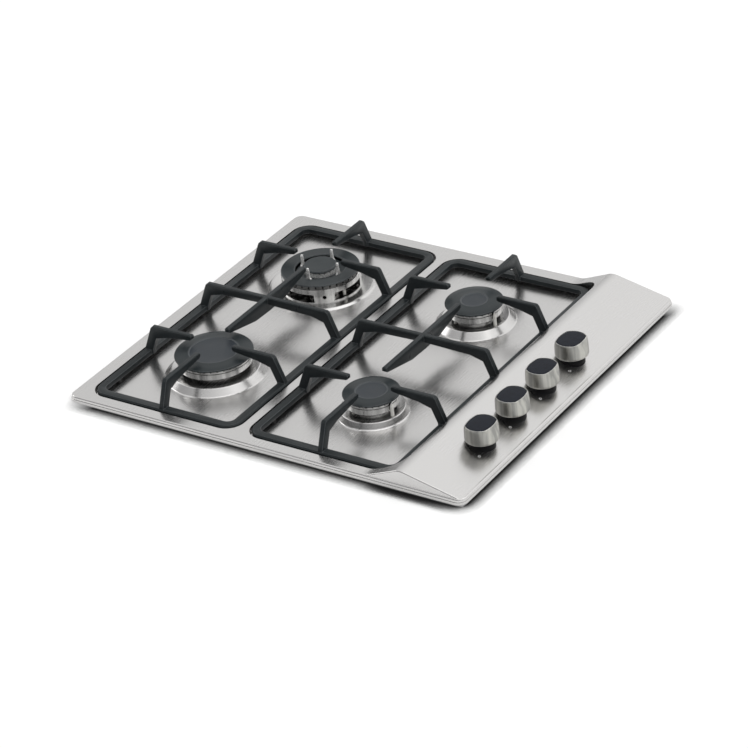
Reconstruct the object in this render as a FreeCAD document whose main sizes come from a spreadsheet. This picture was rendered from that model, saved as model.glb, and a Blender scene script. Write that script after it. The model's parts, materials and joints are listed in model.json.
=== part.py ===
import FreeCAD, Part
import Sketcher
import math
import os
from FreeCAD import Vector, Rotation, Placement

# ---------------------------------------------------------------- sizes (mm)
# z is measured from the bottom of the burner box; worktopLevel is the worktop's surface.
sizes = {
    # plate
    "plateWidth": 582.0,
    "plateDepth": 520.0,
    "skin": 0.8,
    "worktopLevel": 55.0,
    "boxBottom": 5.0,
    "rimHeight": 7.7,
    "rimFoot": 3.2,
    "rimStep": 0.7,
    "cornerRadius": 12.0,
    "lipRadius": 2.2,
    "wellWidth": 225.0,
    "wellDepth": 485.0,
    "wellDrop": 8.2,
    "wellCorner": 24.0,
    "layoutBack": -2.0,
    "leftCentre": -158.5,
    "rightCentre": 78.5,
    "burnerReach": 121.0,
    "panelStart": 156.6,
    "crestX": 203.1,
    "crestRise": 26.6,
    "panelEndX": 287.3,
    "panelSide": 2.2,
    "rightWellEnd": 195.0,
    # pan supports
    "supportWidth": 219.0,
    "supportDepth": 479.0,
    "supportTop": 45.5,
    "ringTop": 9.5,
    "ringBottom": 3.0,
    "ringBar": 11.0,
    "ringCorner": 21.0,
    "fingerWidth": 6.4,
    "legInset": 16.0,
    "legWidth": 12.5,
    "tipReach": 36.0,
    "tipReachFront": 31.5,
    "tipHeight": 7.2,
    "footRadius": 4.0,
    # round burners: front left, front right, rear right
    "capRadiusFL": 50.5,
    "capRadiusFR": 36.2,
    "capRadiusRR": 38.0,
    "capStepFL": 31.5,
    "capStepFR": 19.6,
    "capStepRR": 16.8,
    "seatFootFL": 65.0,
    "seatCrestFL": 57.0,
    "seatFootFR": 44.4,
    "seatCrestFR": 40.8,
    "seatFootRR": 52.0,
    "seatCrestRR": 43.6,
    "seatDish": 0.8,
    "seatRise": 8.9,
    "cupNeckFL": 36.0,
    "cupNeckFR": 24.0,
    "cupNeckRR": 26.0,
    "throatFL": 15.0,
    "throatFR": 10.0,
    "throatRR": 11.0,
    "crownBottom": 13.2,
    "crownTop": 27.2,
    "capEdge": 1.6,
    "capRise": 4.2,
    "capOverhang": 3.0,
    "portWidth": 2.0,
    "portDepth": 2.4,
    "cupDepth": 44.0,
    "cupFloor": 10.0,
    "cupWall": 3.0,
    "feedDrop": 39.0,
    "jetRadius": 4.0,
    "screwRadius": 1.5,
    "screwHead": 2.0,
    "sparkRadius": 2.3,
    "sparkGap": 2.0,
    "fitGap": 0.08,
    "looseGap": 0.3,
    # wok burner
    "wokSeat": 72.0,
    "wokHole": 47.0,
    "wokBaseRadius": 52.5,
    "wokBaseTop": 19.0,
    "wokRingCap": 52.2,
    "wokRingHole": 33.5,
    "wokRingLevel": 24.8,
    "wokRingThick": 1.8,
    "wokInnerCap": 22.2,
    "wokInnerLevel": 27.6,
    "wokInnerThick": 3.2,
    "wokPillar": 19.0,
    "prongCircle": 28.0,
    "prongTop": 38.6,
    # knobs and valves
    "knobX": 253.3,
    "knobFirstY": -150.7,
    "knobPitch": 71.5,
    "knobBottom": 23.0,
    "knobHeight": 21.4,
    "knobTopRadius": 20.6,
    "knobBaseRadius": 21.4,
    "knobFlat": 16.8,
    "insertRim": 1.0,
    "bootRadius": 8.4,
    "collarRadius": 16.2,
    "stemRadius": 3.0,
    "valveBlock": 24.0,
    "valveDrop": 6.0,
    "plugRadius": 6.0,
    "valveHeight": 38.0,
    "railX": 222.0,
    "railDrop": 18.0,
    "railRadius": 8.0,
    "tubeRadius": 3.0,
    "inletRadius": 10.48,
    "inletLength": 15.0,
    "inletNeck": 0.5,
    # box, seal, clamps
    "boxLeft": -267.0,
    "boxRight": 277.0,
    "boxFront": -240.0,
    "boxBack": 237.0,
    "boxWall": 1.0,
    "boxFlange": 9.0,
    "sealWidth": 6.0,
    "sealInset": 2.5,
    "clampLeft": -250.0,
    "clampRight": 260.0,
    "clampFront": -222.0,
    "clampBack": 219.0,
    "clampReach": 38.0,
    "clampWidth": 16.0,
    "clampThick": 2.0,
    "clampHead": 2.8,
    "clampScrew": 2.5,
    "glandX": -60.0,
    "cableHole": 4.0,
}

doc = FreeCAD.newDocument("cooktop")
sheet = doc.addObject("Spreadsheet::Sheet", "Dims")
for row, (alias, value) in enumerate(sizes.items(), start=1):
    sheet.set("A%d" % row, alias)
    sheet.set("B%d" % row, repr(value))
    sheet.setAlias("B%d" % row, alias)
doc.recompute()


class Size:
    # a length that keeps its number and the sheet formula it comes from
    def __init__(self, value, text, free=False):
        self.value = value
        self.text = text
        self.free = free

    def _join(self, other, sign, value, swap=False):
        other = size(other)
        first, second = (other, self) if swap else (self, other)
        return Size(value, "(%s %s %s)" % (first.text, sign, second.text), self.free and other.free)

    def __add__(self, other):
        return self._join(other, "+", self.value + size(other).value)

    def __radd__(self, other):
        return self._join(other, "+", self.value + size(other).value, True)

    def __sub__(self, other):
        return self._join(other, "-", self.value - size(other).value)

    def __rsub__(self, other):
        return self._join(other, "-", size(other).value - self.value, True)

    def __mul__(self, other):
        return self._join(other, "*", self.value * size(other).value)

    def __rmul__(self, other):
        return self._join(other, "*", self.value * size(other).value, True)

    def __truediv__(self, other):
        return self._join(other, "/", self.value / size(other).value)

    def __neg__(self):
        return 0 - self


def size(thing):
    if isinstance(thing, Size):
        return thing
    return Size(float(thing), "%.6f" % thing, True)


class Named:
    def __getattr__(self, alias):
        return Size(sizes[alias], "Dims." + alias)


d = Named()
nodes = {}


def bind(thing, prop, amount):
    amount = size(amount)
    if not amount.free:
        thing.setExpression(prop, amount.text)


def place(thing, x=0, y=0, z=0, turn=0, axis=(0, 0, 1)):
    base = [size(x), size(y), size(z)]
    spin = Rotation(Vector(*axis), size(turn).value)
    thing.Placement = Placement(Vector(*[amount.value for amount in base]), spin)
    for letter, amount in zip("xyz", base):
        bind(thing, "Placement.Base." + letter, amount)


# ---------------------------------------------------------------- small builders
def newBody(label, x=0, y=0, z=0, turn=0, axis=(0, 0, 1)):
    body = doc.addObject("PartDesign::Body", label)
    body.Label = label
    place(body, x, y, z, turn, axis)
    return body


def newSketch(body, plane, lift=0):
    sketch = body.newObject("Sketcher::SketchObject", body.Label + "_sketch")
    for feature in body.Origin.OriginFeatures:
        if feature.Role == plane + "_Plane":
            sketch.AttachmentSupport = [(feature, "")]
    sketch.MapMode = "FlatFace"
    lift = size(lift)
    sketch.AttachmentOffset = Placement(Vector(0, 0, lift.value), Rotation())
    bind(sketch, "AttachmentOffset.Base.z", lift)
    return sketch


def pin(sketch, geo, end, x, y):
    for kind, axis, amount in (("DistanceX", -2, size(x)), ("DistanceY", -1, size(y))):
        if amount.free and amount.value == 0:
            sketch.addConstraint(Sketcher.Constraint("PointOnObject", geo, end, axis))
            continue
        item = sketch.addConstraint(Sketcher.Constraint(kind, -1, 1, geo, end, amount.value))
        bind(sketch, "Constraints[%d]" % item, amount)


def drawLoop(sketch, points):
    first = len(sketch.Geometry)
    count = len(points)
    flat = [Vector(size(x).value, size(y).value, 0) for x, y in points]
    for place_ in range(count):
        sketch.addGeometry(Part.LineSegment(flat[place_], flat[(place_ + 1) % count]), False)
    for place_ in range(count):
        after = first + (place_ + 1) % count
        sketch.addConstraint(Sketcher.Constraint("Coincident", first + place_, 2, after, 1))
    for place_ in range(count):
        pin(sketch, first + place_, 1, *points[place_])


def drawCircle(sketch, radius, x=0, y=0):
    radius = size(radius)
    centre = Vector(size(x).value, size(y).value, 0)
    geo = sketch.addGeometry(Part.Circle(centre, Vector(0, 0, 1), radius.value), False)
    item = sketch.addConstraint(Sketcher.Constraint("Radius", geo, radius.value))
    bind(sketch, "Constraints[%d]" % item, radius)
    pin(sketch, geo, 3, x, y)


def rectangle(left, front, right, back):
    return [(left, front), (right, front), (right, back), (left, back)]


def panelSlab(label, y):
    # what lies under the sloping panel's surface, round one knob
    run = (d.panelEndX - d.crestX).value
    drop = (d.crestRise - d.rimHeight).value
    slope = math.atan2(drop, run)
    deep = 60.0
    slab = block(label, d.crestX - deep * math.sin(slope), y - 30.0,
                 work + d.crestRise - deep * math.cos(slope), 120.0, 60.0, deep)
    slab.Placement = Placement(slab.Placement.Base, Rotation(Vector(0, 1, 0), math.degrees(slope)))
    return slab


def pad(body, sketch, length, both=False):
    feature = body.newObject("PartDesign::Pad", body.Label + "_pad")
    feature.Profile = sketch
    feature.Length = size(length).value
    bind(feature, "Length", length)
    feature.Midplane = both
    body.Tip = feature
    return feature


def pocket(body, sketch, length, both=False, up=False):
    feature = body.newObject("PartDesign::Pocket", body.Label + "_pocket")
    feature.Profile = sketch
    feature.Length = size(length).value
    bind(feature, "Length", length)
    feature.Midplane = both
    feature.Reversed = up
    body.Tip = feature
    return feature


def revolve(body, points, cut=False, plane="XZ"):
    sketch = newSketch(body, plane)
    drawLoop(sketch, points)
    kind = "PartDesign::Groove" if cut else "PartDesign::Revolution"
    feature = body.newObject(kind, body.Label + "_turned")
    feature.Profile = sketch
    feature.ReferenceAxis = (sketch, ["V_Axis"])
    feature.Angle = 360.0
    body.Tip = feature
    return feature


def around(body, feature, count, angle=360.0):
    doc.recompute()
    pattern = body.newObject("PartDesign::PolarPattern", body.Label + "_pattern")
    pattern.Originals = [feature]
    for axis in body.Origin.OriginFeatures:
        if axis.Role == "Z_Axis":
            pattern.Axis = (axis, [""])
    pattern.Angle = angle
    pattern.Occurrences = count
    body.Tip = pattern
    return pattern


def edges(feature, want):
    names = []
    for place_, edge in enumerate(feature.Shape.Edges, start=1):
        if want(edge):
            names.append("Edge%d" % place_)
    return names


def upright(edge):
    if len(edge.Vertexes) != 2 or edge.Curve.TypeId != "Part::GeomLine":
        return False
    one, two = edge.Vertexes[0].Point, edge.Vertexes[1].Point
    return abs(one.x - two.x) < 1e-5 and abs(one.y - two.y) < 1e-5


def atLevel(level):
    return lambda edge: abs(edge.BoundBox.ZMin - level) < 1e-4 and abs(edge.BoundBox.ZMax - level) < 1e-4


def roundAt(radius, level):
    # the circular edge of that radius at that height in its body
    radius = size(radius).value
    level = size(level).value
    return lambda edge: (atLevel(level)(edge) and edge.Curve.TypeId == "Part::GeomCircle"
                         and abs(edge.Curve.Radius - radius) < 1e-4)


def soften(body, want, radius, chamfer=False):
    doc.recompute()
    base = body.Tip
    kind = "PartDesign::Chamfer" if chamfer else "PartDesign::Fillet"
    feature = body.newObject(kind, body.Label + "_edge")
    feature.Base = (base, edges(base, want))
    prop = "Size" if chamfer else "Radius"
    setattr(feature, prop, size(radius).value)
    bind(feature, prop, radius)
    body.Tip = feature
    return feature


def roundedBlock(label, halfX, halfY, bottom, height, radius, x=0, y=0):
    body = newBody(label, x, y, bottom)
    sketch = newSketch(body, "XY")
    drawLoop(sketch, rectangle(-halfX, -halfY, halfX, halfY))
    pad(body, sketch, height)
    soften(body, upright, radius)
    return body


def block(label, left, front, bottom, long, deep, high):
    thing = doc.addObject("Part::Box", label)
    thing.Label = label
    for prop, amount in (("Length", long), ("Width", deep), ("Height", high)):
        setattr(thing, prop, size(amount).value)
        bind(thing, prop, amount)
    place(thing, left, front, bottom)
    return thing


def rod(label, radius, high, x=0, y=0, z=0, turn=0, axis=(0, 1, 0)):
    thing = doc.addObject("Part::Cylinder", label)
    thing.Label = label
    for prop, amount in (("Radius", radius), ("Height", high)):
        setattr(thing, prop, size(amount).value)
        bind(thing, prop, amount)
    place(thing, x, y, z, turn, axis)
    return thing


def fuse(label, parts):
    thing = doc.addObject("Part::MultiFuse", label)
    thing.Label = label
    thing.Shapes = parts
    thing.Refine = True
    return thing


def cut(label, base, tool):
    thing = doc.addObject("Part::Cut", label)
    thing.Label = label
    thing.Base = base
    thing.Tool = tool
    thing.Refine = True
    return thing


def common(label, parts):
    thing = doc.addObject("Part::MultiCommon", label)
    thing.Label = label
    thing.Shapes = parts
    return thing


def keep(label, thing):
    thing.Label = label
    nodes[label] = thing
    return thing


# levels and places that several pieces share
work = d.worktopLevel
border = work + d.rimHeight
floor = border - d.wellDrop
burners = {
    "front_left": (d.leftCentre, d.layoutBack - d.burnerReach, "FL"),
    "front_right": (d.rightCentre, d.layoutBack - d.burnerReach, "FR"),
    "rear_right": (d.rightCentre, d.layoutBack + d.burnerReach, "RR"),
}
wokX = d.leftCentre
wokY = d.layoutBack + d.burnerReach
knobs = [d.knobFirstY + d.knobPitch * step for step in range(4)]
seatTop = floor + d.seatRise - d.seatDish
flangeTop = seatTop - d.skin
wokFloor = floor + 0.8
valveTop = work - d.valveDrop
feedLevel = work - d.feedDrop
knobBottom = work + d.knobBottom


def capR(mark):
    return getattr(d, "capRadius" + mark)


def crownR(mark):
    return capR(mark) - d.capOverhang


def neckR(mark):
    return getattr(d, "cupNeck" + mark)


def crestR(mark):
    return getattr(d, "seatCrest" + mark)


def sparkR(mark):
    return crownR(mark) + d.sparkGap


def onCircle(radius, degrees):
    angle = math.radians(degrees)
    return radius * math.cos(angle), radius * math.sin(angle)


sparkTurn = {"FL": 160.0, "FR": -14.0, "RR": -16.0}
wokSparkTurn = -16.0
wokPillarTurn = -52.0


# ---------------------------------------------------------------- pressed plate
def panelHump(label, inset):
    body = newBody(label)
    sketch = newSketch(body, "XZ")
    low = border - inset
    drawLoop(sketch, [
        (d.panelStart - 12.0, low),
        (d.panelStart - 12.0, low - 4.0),
        (d.panelEndX, low - 4.0),
        (d.panelEndX, low),
        (d.crestX, work + d.crestRise - inset),
        (d.panelStart, low),
    ])
    pad(body, sketch, d.plateDepth - 2 * d.panelSide - 2 * inset, both=True)
    crest = (work + d.crestRise - inset).value
    soften(body, atLevel(crest), 22.0 - inset)
    soften(body, lambda edge: edge.BoundBox.XLength < 1e-4 and edge.BoundBox.ZLength < 1e-4
           and abs(edge.CenterOfMass.x - d.panelStart.value) < 1e-3
           and abs(edge.CenterOfMass.z - low.value) < 1e-3, 40.0 + inset)
    doc.recompute()
    top = body.Tip.Shape.BoundBox.ZMax
    side = (d.plateDepth / 2 - d.panelSide - inset).value
    soften(body, lambda edge: abs(abs(edge.CenterOfMass.y) - side) < 1e-3
           and edge.BoundBox.ZMax > low.value + 0.5 and edge.BoundBox.XLength > 1
           and edge.BoundBox.ZMax <= top + 1e-3, 1.8)
    return body


def pressing(name, inset):
    halfX = d.plateWidth / 2 - d.rimStep - inset
    halfY = d.plateDepth / 2 - d.rimStep - inset
    parts = []
    if size(inset).value == 0:
        parts.append(roundedBlock(name + "Foot", d.plateWidth / 2, d.plateDepth / 2, work,
                                  d.rimFoot, d.cornerRadius))
        upper = roundedBlock(name + "Upper", halfX, halfY, work, d.rimHeight,
                             d.cornerRadius - d.rimStep)
        soften(upper, atLevel(d.rimHeight.value), d.lipRadius)
    else:
        upper = roundedBlock(name + "Upper", halfX, halfY, work - 20.0,
                             20.0 + d.rimHeight - inset, d.cornerRadius - d.rimStep - inset)
    parts.append(upper)
    inside = roundedBlock(name + "Inside", halfX, d.plateDepth / 2 - d.panelSide - inset,
                          work + 2.0, 40.0, d.cornerRadius - d.rimStep - inset)
    parts.append(common(name + "Panel", [panelHump(name + "Hump", inset), inside]))
    wells = []
    for side, left, right in (
            ("Left", d.leftCentre - d.wellWidth / 2, d.leftCentre + d.wellWidth / 2),
            ("Right", d.rightCentre - d.wellWidth / 2, d.rightWellEnd)):
        well = roundedBlock(name + "Well" + side, (right - left) / 2 + inset,
                            d.wellDepth / 2 + inset, floor - inset, 60.0,
                            d.wellCorner + inset, (left + right) / 2, d.layoutBack)
        soften(well, atLevel(0.0), 3.0 + size(inset))
        wells.append(well)
        if size(inset).value == 0:
            parts.append(roundedBlock(name + "Under" + side, (right - left) / 2 + d.skin,
                                      d.wellDepth / 2 + d.skin, floor - d.skin, d.wellDrop,
                                      d.wellCorner + d.skin, (left + right) / 2, d.layoutBack))
    body = fuse(name + "Block", parts)
    hollow = cut(name + "Wells", body, fuse(name + "WellPair", wells))
    seats = [hollow]
    for burner, (x, y, mark) in burners.items():
        foot = getattr(d, "seatFoot" + mark) - inset * 0.8
        crest = crestR(mark) - inset * 0.8
        seat = newBody(name + "Seat" + mark, x, y, floor - inset)
        revolve(seat, [
            (0, -0.4),
            (foot + 5.0, -0.4),
            (foot + 5.0, 0),
            (foot, 0),
            (crest, d.seatRise),
            (crest - 8.0, d.seatRise - d.seatDish),
            (0, d.seatRise - d.seatDish),
        ])
        soften(seat, roundAt(foot, 0), 2.6)
        soften(seat, roundAt(crest, d.seatRise), 1.4)
        seats.append(seat)
    ring = newBody(name + "SeatWok", wokX, wokY, floor - inset)
    revolve(ring, [
        (0, -0.4),
        (d.wokSeat + 0.6, -0.4),
        (d.wokSeat - 2.4, 2.4),
        (d.wokSeat - 5.0, 2.4),
        (d.wokBaseRadius + 1.5, 0.8),
        (0, 0.8),
    ])
    seats.append(ring)
    return fuse(name + "Seats", seats)


def screwSpots():
    spots = []
    for burner, (x, y, mark) in burners.items():
        for degrees in (60.0, 240.0):
            dx, dy = onCircle(1.0, degrees)
            reach = neckR(mark) + 0.5 + d.screwHead + 0.3
            spots.append((x + reach * dx, y + reach * dy, seatTop))
    return spots


def sparkSpots():
    spots = []
    for burner, (x, y, mark) in burners.items():
        dx, dy = onCircle(1.0, sparkTurn[mark])
        spots.append((x + sparkR(mark) * dx, y + sparkR(mark) * dy))
    dx, dy = onCircle(1.0, wokSparkTurn)
    spots.append((wokX + 45.0 * dx, wokY + 45.0 * dy))
    return spots


def hobPlate():
    skin = cut("plateSkin", pressing("outer", 0), pressing("inner", d.skin))
    holes = []
    for burner, (x, y, mark) in burners.items():
        holes.append(rod("hole" + mark, neckR(mark) + 0.5, 40.0, x, y, work - 15.0))
    holes.append(rod("holeWok", d.wokHole, 40.0, wokX, wokY, work - 15.0))
    for step, (x, y, z) in enumerate(screwSpots()):
        holes.append(rod("screwHole%d" % step, d.screwRadius + 0.2, 20.0, x, y, work - 10.0))
    for step, (x, y) in enumerate(sparkSpots()):
        holes.append(rod("sparkHole%d" % step, d.sparkRadius + 0.3, 30.0, x, y, work - 15.0))
    for step, y in enumerate(knobs):
        holes.append(rod("knobHole%d" % step, d.bootRadius + 0.1, 60.0, d.knobX, y, work - 20.0))
    keep("hob_plate", cut("hob_plate", skin, fuse("plateHoles", holes)))


# ---------------------------------------------------------------- seal and box
def frameRing(label, halfX, halfY, bar, bottom, height, corner, x=0, y=0):
    outer = roundedBlock(label + "Out", halfX, halfY, bottom, height, corner, x, y)
    inner = roundedBlock(label + "In", halfX - bar, halfY - bar, bottom - 1.0, height + 2.0,
                         corner - bar, x, y)
    return cut(label, outer, inner)


def worktopSeal():
    inset = d.rimStep + d.skin + d.sealInset
    keep("worktop_seal", frameRing("worktop_seal", d.plateWidth / 2 - inset,
                                   d.plateDepth / 2 - inset, d.sealWidth, work,
                                   d.rimHeight - d.skin, d.cornerRadius - d.rimStep - 0.8))


def burnerBox():
    wide = d.boxRight - d.boxLeft
    deep = d.boxBack - d.boxFront
    high = floor - d.skin - d.boxBottom
    outer = block("boxOuter", d.boxLeft, d.boxFront, d.boxBottom, wide, deep, high)
    inner = block("boxInner", d.boxLeft + d.boxWall, d.boxFront + d.boxWall,
                  d.boxBottom + d.boxWall, wide - 2 * d.boxWall, deep - 2 * d.boxWall,
                  high - 2 * d.boxWall)
    mouth = block("boxMouth", d.boxLeft + d.boxFlange, d.boxFront + d.boxFlange,
                  d.boxBottom + 10.0, wide - 2 * d.boxFlange, deep - 2 * d.boxFlange, 60.0)
    tools = [inner, mouth]
    for step in range(7):
        tools.append(block("vent%d" % step, -120.0 + 14.0 * step, -60.0, d.boxBottom - 1.0,
                           5.0, 120.0, 4.0))
    for step, (x, y) in enumerate(clampSpots()):
        tools.append(rod("clampHole%d" % step, d.clampScrew, 6.0, x, y, d.boxBottom - 2.0))
    tools.append(rod("inletHole", d.inletRadius + 0.1, 20.0, d.railX, d.boxBack + 10.0,
                     work - d.railDrop, 90.0, (1, 0, 0)))
    tools.append(rod("glandHole", d.cableHole + 2.0, 20.0, d.glandX, d.boxBack + 10.0,
                     d.boxBottom + 18.0, 90.0, (1, 0, 0)))
    keep("burner_box", cut("burner_box", outer, fuse("boxTools", tools)))


def clampSpots():
    return [(x, y) for y in (d.clampFront, d.clampBack) for x in (d.clampLeft, d.clampRight)]


def clamps():
    screws = []
    for step, (x, y) in enumerate(clampSpots(), start=1):
        toBack = y.value < 0
        strip = newBody("clamp_%d" % step, x, y, d.clampHead, 90.0 if toBack else -90.0)
        sketch = newSketch(strip, "XY")
        half = d.clampWidth / 2
        drawLoop(sketch, rectangle(-half, -half, d.clampReach, half))
        pad(strip, sketch, d.clampThick)
        soften(strip, upright, half - 2.0)
        hole = newSketch(strip, "XY")
        drawCircle(hole, d.clampScrew + d.fitGap)
        pocket(strip, hole, d.clampThick + 2.0, up=True)
        keep("clamp_%d" % step, strip)
        head = newBody("clampScrew%d" % step, x, y, 0)
        revolve(head, [
            (0, 0),
            (d.clampScrew + 2.0, 0),
            (d.clampScrew + 2.0, d.clampHead),
            (d.clampScrew, d.clampHead),
            (d.clampScrew, d.boxBottom + d.boxWall),
            (d.clampScrew + 1.8, d.boxBottom + d.boxWall),
            (d.clampScrew + 1.8, d.boxBottom + d.boxWall + 4.0),
            (0, d.boxBottom + d.boxWall + 4.0),
        ])
        screws.append(head)
    group("clamp_screws", screws)


def group(label, parts):
    thing = doc.addObject("Part::Compound", label)
    thing.Links = parts
    keep(label, thing)


# ---------------------------------------------------------------- pan supports
def finger(label, x, y, turn, half, tip, tipDepth, leg=True):
    # profile in its own XZ plane, x outward from the burner axis
    body = newBody(label, x, y, work, turn)
    sketch = newSketch(body, "XZ")
    top = d.supportTop
    if leg:
        outer = half - 1.0
        shoulder = half - d.legInset
        lean = (shoulder - outer) / (top - d.ringTop)
        inner = outer - d.legWidth
        drawLoop(sketch, [
            (tip, top - 1.6),
            (tip, top - tipDepth + 1.6),
            (tip + 2.4, top - tipDepth),
            (shoulder - 24.0, top - 12.0),
            (inner + lean * (top - 17.0 - d.ringTop), top - 17.0),
            (inner, d.ringTop),
            (inner, d.ringBottom + 1.0),
            (outer, d.ringBottom + 1.0),
            (outer, d.ringTop),
            (shoulder + 1.6, top - 3.0),
            (shoulder - 1.6, top),
            (tip + 1.6, top),
        ])
    else:
        drawLoop(sketch, [
            (-1.0, top),
            (-1.0, top - 20.0),
            (half * 0.36, top - 19.0),
            (half - 2.4, top - tipDepth),
            (half, top - tipDepth + 1.6),
            (half, top - 1.6),
            (half - 1.6, top),
        ])
    pad(body, sketch, d.fingerWidth, both=True)
    long = lambda edge: (abs(abs(edge.CenterOfMass.y) - d.fingerWidth.value / 2) < 1e-4
                         and edge.BoundBox.ZMin > (top - 3.2).value
                         and edge.BoundBox.ZLength < 1e-4)
    soften(body, long, 1.1, chamfer=True)
    return body


def panSupport(side, x):
    halfX = d.supportWidth / 2
    halfY = d.supportDepth / 2
    y = d.layoutBack
    outer = roundedBlock(side + "RingOut", halfX, halfY, work + d.ringBottom,
                         d.ringTop - d.ringBottom, d.ringCorner, x, y)
    soften(outer, atLevel((d.ringTop - d.ringBottom).value), 1.6, chamfer=True)
    inner = roundedBlock(side + "RingIn", halfX - d.ringBar, halfY - d.ringBar,
                         work + d.ringBottom - 1.0, 20.0, d.ringCorner - d.ringBar, x, y)
    parts = [cut(side + "Ring", outer, inner)]
    for place_, reach in (("Front", d.tipReachFront), ("Rear", d.tipReach)):
        sign = -1 if place_ == "Front" else 1
        lineY = y + sign * d.burnerReach
        for turn in (0.0, 180.0):
            parts.append(finger("%s%s%d" % (side, place_, turn), x, lineY, turn, halfX, reach,
                                d.tipHeight))
        parts.append(finger("%s%sEnd" % (side, place_), x, lineY, 90.0 * sign,
                            halfY - d.burnerReach, reach, d.tipHeight))
        parts.append(finger("%s%sMid" % (side, place_), x, y, 90.0 * sign,
                            d.burnerReach - reach, 0, d.tipHeight, leg=False))
    for turn in (0.0, 180.0):
        parts.append(finger("%sCross%d" % (side, turn), x, y, turn, halfX, size(-1.0), size(10.0)))
    keep("pan_support_" + side, fuse("pan_support_" + side, parts))
    feet = []
    for sx in (-1, 1):
        for sy in (-1, 1):
            feet.append(rod("%sFoot%d%d" % (side, sx, sy), d.footRadius,
                            d.ringBottom + work - floor,
                            x + sx * (halfX - d.ringBar / 2), y + sy * (halfY - 50.0), floor))
    group("support_feet_" + side, feet)


# ---------------------------------------------------------------- round burners
def burnerCup(burner, x, y, mark):
    neck = neckR(mark)
    bottom = -d.cupDepth
    body = newBody(burner + "CupBody", x, y, work)
    low = flangeTop - work
    flange = sparkR(mark) - d.sparkRadius - 1.3
    revolve(body, [
        (d.jetRadius, bottom),
        (neck, bottom),
        (neck, low - 4.0),
        (flange, low - 4.0),
        (flange, low),
        (neck, low),
        (neck, d.crownBottom),
        (neck - d.cupWall, d.crownBottom),
        (neck - d.cupWall, bottom + d.cupFloor),
        (d.jetRadius, bottom + d.cupFloor),
    ])
    boss = rod(burner + "Boss", 6.0, 14.0, x + neck - 2.0, y, feedLevel, 90.0)
    way = rod(burner + "Way", d.tubeRadius - 0.6, neck + 14.0, x + 1.0, y, feedLevel, 90.0)
    holes = [way]
    for step, (sx, sy, sz) in enumerate(screwSpots()):
        holes.append(rod("%sTap%d" % (burner, step), d.screwRadius, 4.0, sx, sy, flangeTop - 3.0))
    keep(burner + "_cup", cut(burner + "_cup", fuse(burner + "CupBlank", [body, boss]),
                              fuse(burner + "CupHoles", holes)))


def crown(burner, x, y, mark, ports):
    outer = crownR(mark)
    throat = getattr(d, "throat" + mark)
    guide = neckR(mark) - d.cupWall - d.looseGap
    body = newBody(burner + "_crown", x, y, work)
    revolve(body, [
        (throat, -10.0),
        (throat + 2.0, -10.0),
        (throat + 2.0, d.crownBottom),
        (guide - 3.0, d.crownBottom),
        (guide - 3.0, d.crownBottom - 4.0),
        (guide, d.crownBottom - 4.0),
        (guide, d.crownBottom),
        (outer - 1.6, d.crownBottom),
        (outer, d.crownBottom + 1.6),
        (outer, d.crownTop - 5.4),
        (outer - 0.6, d.crownTop - 5.1),
        (outer - 0.6, d.crownTop - 4.5),
        (outer, d.crownTop - 4.2),
        (outer, d.crownTop),
        (outer - 5.0, d.crownTop),
        (outer - 5.0, d.crownBottom + 3.5),
        (throat, d.crownBottom + 3.5),
    ])
    notch = newSketch(body, "XY", d.crownBottom - 1.0)
    dx, dy = onCircle(1.0, sparkTurn[mark])
    drawCircle(notch, d.sparkRadius + 0.9, sparkR(mark) * dx, sparkR(mark) * dy)
    pocket(body, notch, 30.0, up=True)
    slot = newSketch(body, "XY", d.crownTop - d.portDepth)
    drawLoop(slot, rectangle(outer - 6.0, -d.portWidth / 2, outer + 1.0, d.portWidth / 2))
    around(body, pocket(body, slot, d.portDepth + 1.0, up=True), ports)
    keep(burner + "_crown", body)


def cap(burner, x, y, mark):
    edge = capR(mark)
    step = getattr(d, "capStep" + mark)
    guide = crownR(mark) - 5.0 - d.looseGap
    body = newBody(burner + "_cap", x, y, work + d.crownTop)
    revolve(body, [
        (0, 1.4),
        (guide - 2.0, 1.4),
        (guide - 2.0, -3.0),
        (guide, -3.0),
        (guide, 0),
        (edge - 0.6, 0),
        (edge, 0.6),
        (edge, d.capEdge),
        (edge - 1.0, d.capEdge + 0.9),
        (step + 0.8, d.capRise),
        (step - 0.8, d.capRise - 0.9),
        (0, d.capRise - 0.9),
    ])
    keep(burner + "_cap", body)


def jets():
    spots = [(x, y) for x, y, mark in burners.values()] + [(wokX, wokY)]
    parts = []
    for step, (x, y) in enumerate(spots):
        body = newBody("jet%d" % step, x, y, work - d.cupDepth + d.cupFloor)
        revolve(body, [
            (0, -4.0),
            (d.jetRadius, -4.0),
            (d.jetRadius, 0),
            (d.jetRadius + 2.0, 0),
            (d.jetRadius + 2.0, 5.0),
            (2.4, 6.0),
            (2.4, 9.0),
            (0, 9.0),
        ])
        parts.append(body)
    group("injectors", parts)


def screws():
    parts = []
    for step, (x, y, z) in enumerate(screwSpots()):
        body = newBody("burnerScrew%d" % step, x, y, z)
        revolve(body, [
            (0, -d.skin - 2.9),
            (d.screwRadius, -d.skin - 2.9),
            (d.screwRadius, 0),
            (d.screwHead, 0),
            (d.screwHead, 1.2),
            (0, 1.2),
        ])
        parts.append(body)
    group("burner_screws", parts)


def sparks():
    bodies = []
    pins = []
    tops = [24.0, 24.0, 24.0, 11.5]
    for step, (x, y) in enumerate(sparkSpots()):
        bodies.append(newBody("spark%d" % step, x, y, work))
        revolve(bodies[-1], [
            (0.9, -14.0),
            (d.sparkRadius, -14.0),
            (d.sparkRadius, tops[step] - 3.0),
            (d.sparkRadius - 0.9, tops[step]),
            (0.9, tops[step]),
        ])
        pins.append(rod("sparkPin%d" % step, 0.9, tops[step] + (21.8 if step < 3 else 21.5),
                        x, y, work - 20.0))
    group("spark_ceramics", bodies)
    group("spark_pins", pins)


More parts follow.
